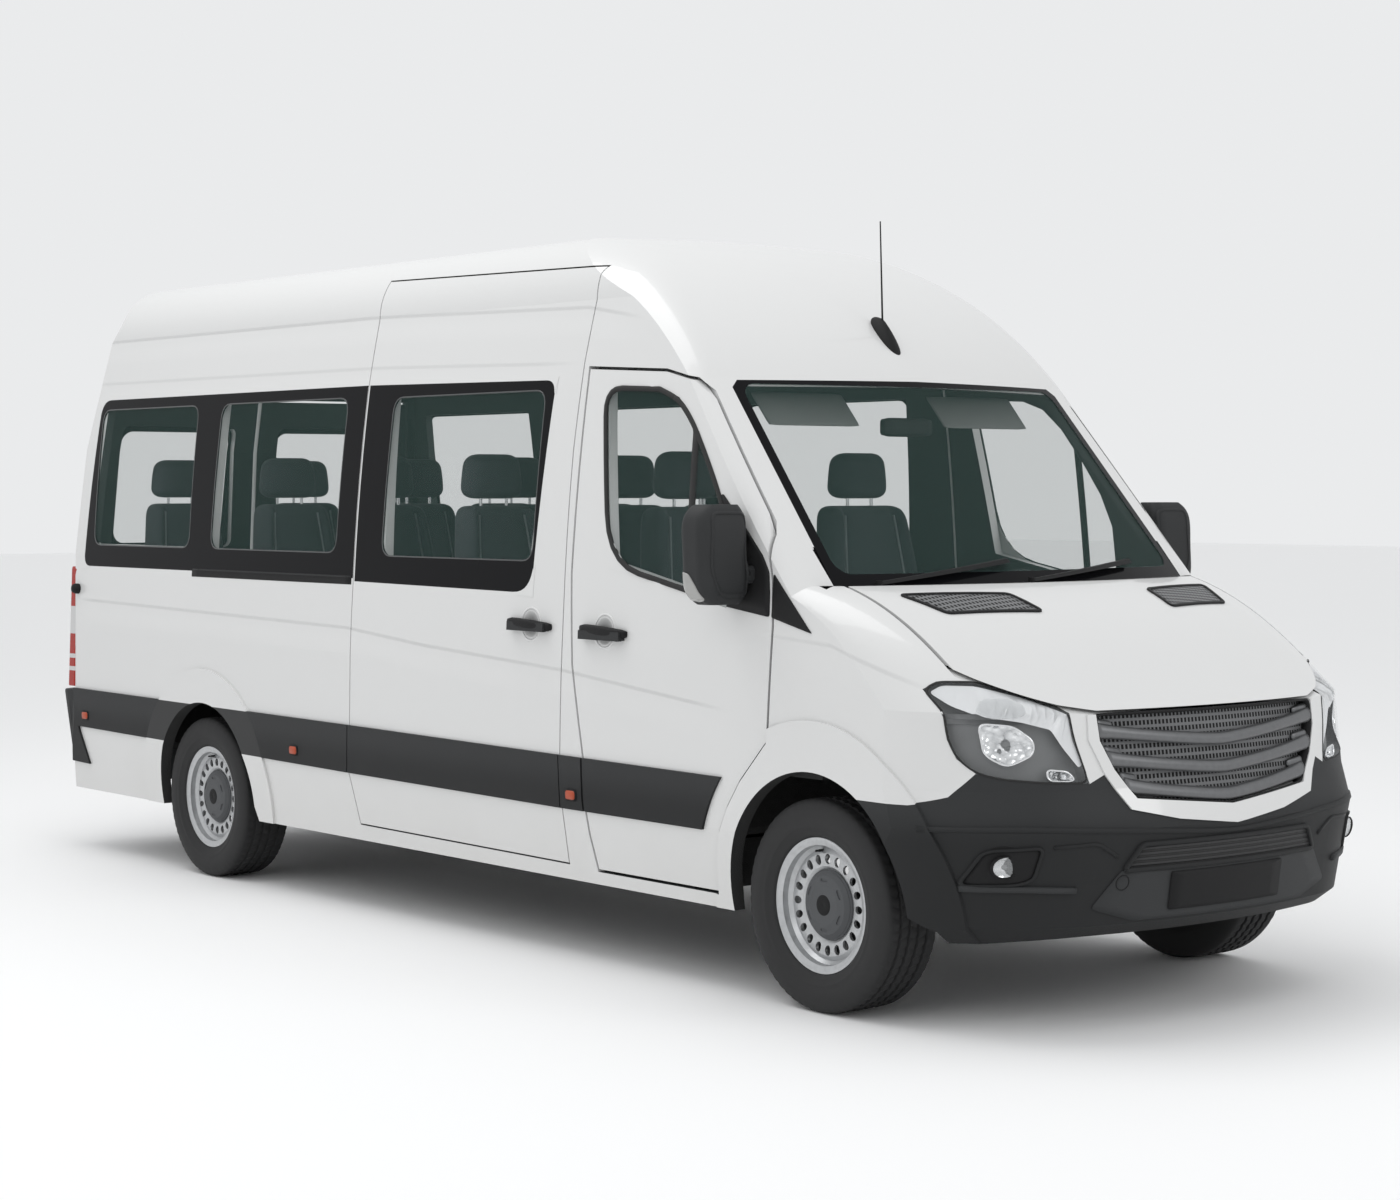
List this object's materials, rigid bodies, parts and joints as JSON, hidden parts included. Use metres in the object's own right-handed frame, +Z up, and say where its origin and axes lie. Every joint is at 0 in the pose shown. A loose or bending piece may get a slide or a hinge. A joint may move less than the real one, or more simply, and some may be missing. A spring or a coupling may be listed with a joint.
{
  "type": "minibus",
  "caption": "High-roofed long minibus with a short sloping bonnet, glazed sides, a sliding side door, hinged front and rear doors, seats inside, and steered front wheels.",
  "frame": {"origin": "ground level, mid length and mid width", "axes": "+X forward, +Y to the vehicle's left, +Z up"},
  "size_m": [6.4402, 2.3902, 2.6777],
  "materials": {
    "white_paint": "clean white gloss paint",
    "window_glass": "clear tinted glass",
    "dark_trim": "grained dark grey plastic",
    "black_trim": "smooth black plastic",
    "lamp_clear": "clear lamp lens",
    "lamp_red": "red and clear lamp lens",
    "under_metal": "dull dark underbody coating",
    "axle_iron": "dark cast iron",
    "wheel_steel": "silver painted steel",
    "tyre_rubber": "ribbed road tyre",
    "seat_cloth": "dark grey cloth with paler piping"
  },
  "bodies": {
    "body": {"roof": "white_paint", "body_side_right": "white_paint", "body_side_left": "white_paint", "front_wings": "white_paint", "firewall": "under_metal", "front_bumper": "dark_trim", "grille_surround": "white_paint", "grille": "dark_trim", "front_lamps": "lamp_clear", "windscreen": "window_glass", "side_glass": "window_glass", "sliding_door": "white_paint", "rub_strips": "dark_trim", "rear_bumper": "dark_trim", "tail_lamps": "lamp_red", "roof_antenna": "black_trim", "floor_pan": "under_metal", "chassis": "under_metal", "engine": "axle_iron", "rear_axle": "axle_iron", "dashboard": "dark_trim", "front_seats": "seat_cloth", "rear_seats": "seat_cloth", "seat_frames": "under_metal", "wipers": "black_trim"},
    "door_front_right": {"door_front_right": "white_paint", "door_glass_right": "window_glass", "door_trim_right": "dark_trim"},
    "door_rear_right": {"door_rear_right": "white_paint", "door_glass_rear_right": "window_glass"},
    "knuckle_right": {"knuckle_right": "axle_iron"},
    "wheel_front_right": {"rim_front_right": "wheel_steel", "tyre_front_right": "tyre_rubber"},
    "wheel_rear_right": {"rim_rear_right": "wheel_steel", "tyre_rear_right": "tyre_rubber"},
    "door_front_left": {"door_front_left": "white_paint", "door_glass_left": "window_glass", "door_trim_left": "dark_trim"},
    "door_rear_left": {"door_rear_left": "white_paint", "door_glass_rear_left": "window_glass"},
    "knuckle_left": {"knuckle_left": "axle_iron"},
    "wheel_front_left": {"rim_front_left": "wheel_steel", "tyre_front_left": "tyre_rubber"},
    "wheel_rear_left": {"rim_rear_left": "wheel_steel", "tyre_rear_left": "tyre_rubber"},
    "bonnet": {"bonnet": "white_paint"},
    "steering_wheel": {"steering_wheel": "black_trim"}
  },
  "joints": [
    {"name": "steer_right", "type": "hinge", "parent": "body", "child": "knuckle_right", "pos_m": [2.28, -0.78, 0.35], "axis": [0, 0, 1], "range_deg": [-35, 35]},
    {"name": "roll_front_right", "type": "hinge", "parent": "knuckle_right", "child": "wheel_front_right", "pos_m": [2.28, -0.855, 0.35], "axis": [0, 1, 0], "continuous": true},
    {"name": "roll_rear_right", "type": "hinge", "parent": "body", "child": "wheel_rear_right", "pos_m": [-1.82, -0.855, 0.35], "axis": [0, 1, 0], "continuous": true},
    {"name": "swing_door_front_right", "type": "hinge", "parent": "body", "child": "door_front_right", "pos_m": [2.083, -1, 1], "axis": [0, 0, 1], "range_deg": [0, 70]},
    {"name": "swing_door_rear_right", "type": "hinge", "parent": "body", "child": "door_rear_right", "pos_m": [-3.2, -0.888, 1.3], "axis": [0, 0, 1], "range_deg": [0, 180]},
    {"name": "steer_left", "type": "hinge", "parent": "body", "child": "knuckle_left", "pos_m": [2.28, 0.78, 0.35], "axis": [0, 0, 1], "range_deg": [-35, 35]},
    {"name": "roll_front_left", "type": "hinge", "parent": "knuckle_left", "child": "wheel_front_left", "pos_m": [2.28, 0.855, 0.35], "axis": [0, 1, 0], "continuous": true},
    {"name": "roll_rear_left", "type": "hinge", "parent": "body", "child": "wheel_rear_left", "pos_m": [-1.82, 0.855, 0.35], "axis": [0, 1, 0], "continuous": true},
    {"name": "swing_door_front_left", "type": "hinge", "parent": "body", "child": "door_front_left", "pos_m": [2.083, 1, 1], "axis": [0, 0, -1], "range_deg": [0, 70]},
    {"name": "swing_door_rear_left", "type": "hinge", "parent": "body", "child": "door_rear_left", "pos_m": [-3.2, 0.888, 1.3], "axis": [0, 0, -1], "range_deg": [0, 180]},
    {"name": "lift_bonnet", "type": "hinge", "parent": "body", "child": "bonnet", "pos_m": [2.28, 0, 1.395], "axis": [0, -1, 0], "range_deg": [0, 60]},
    {"name": "turn_steering_wheel", "type": "hinge", "parent": "body", "child": "steering_wheel", "pos_m": [1.68, 0.43, 1.265], "axis": [-0.6691, 0, 0.7431], "range_deg": [-530, 530]}
  ],
  "couplings": [
    {"joint": "steer_left", "follows": "steer_right", "ratio": 1},
    {"joint": "turn_steering_wheel", "follows": "steer_right", "ratio": 15}
  ]
}
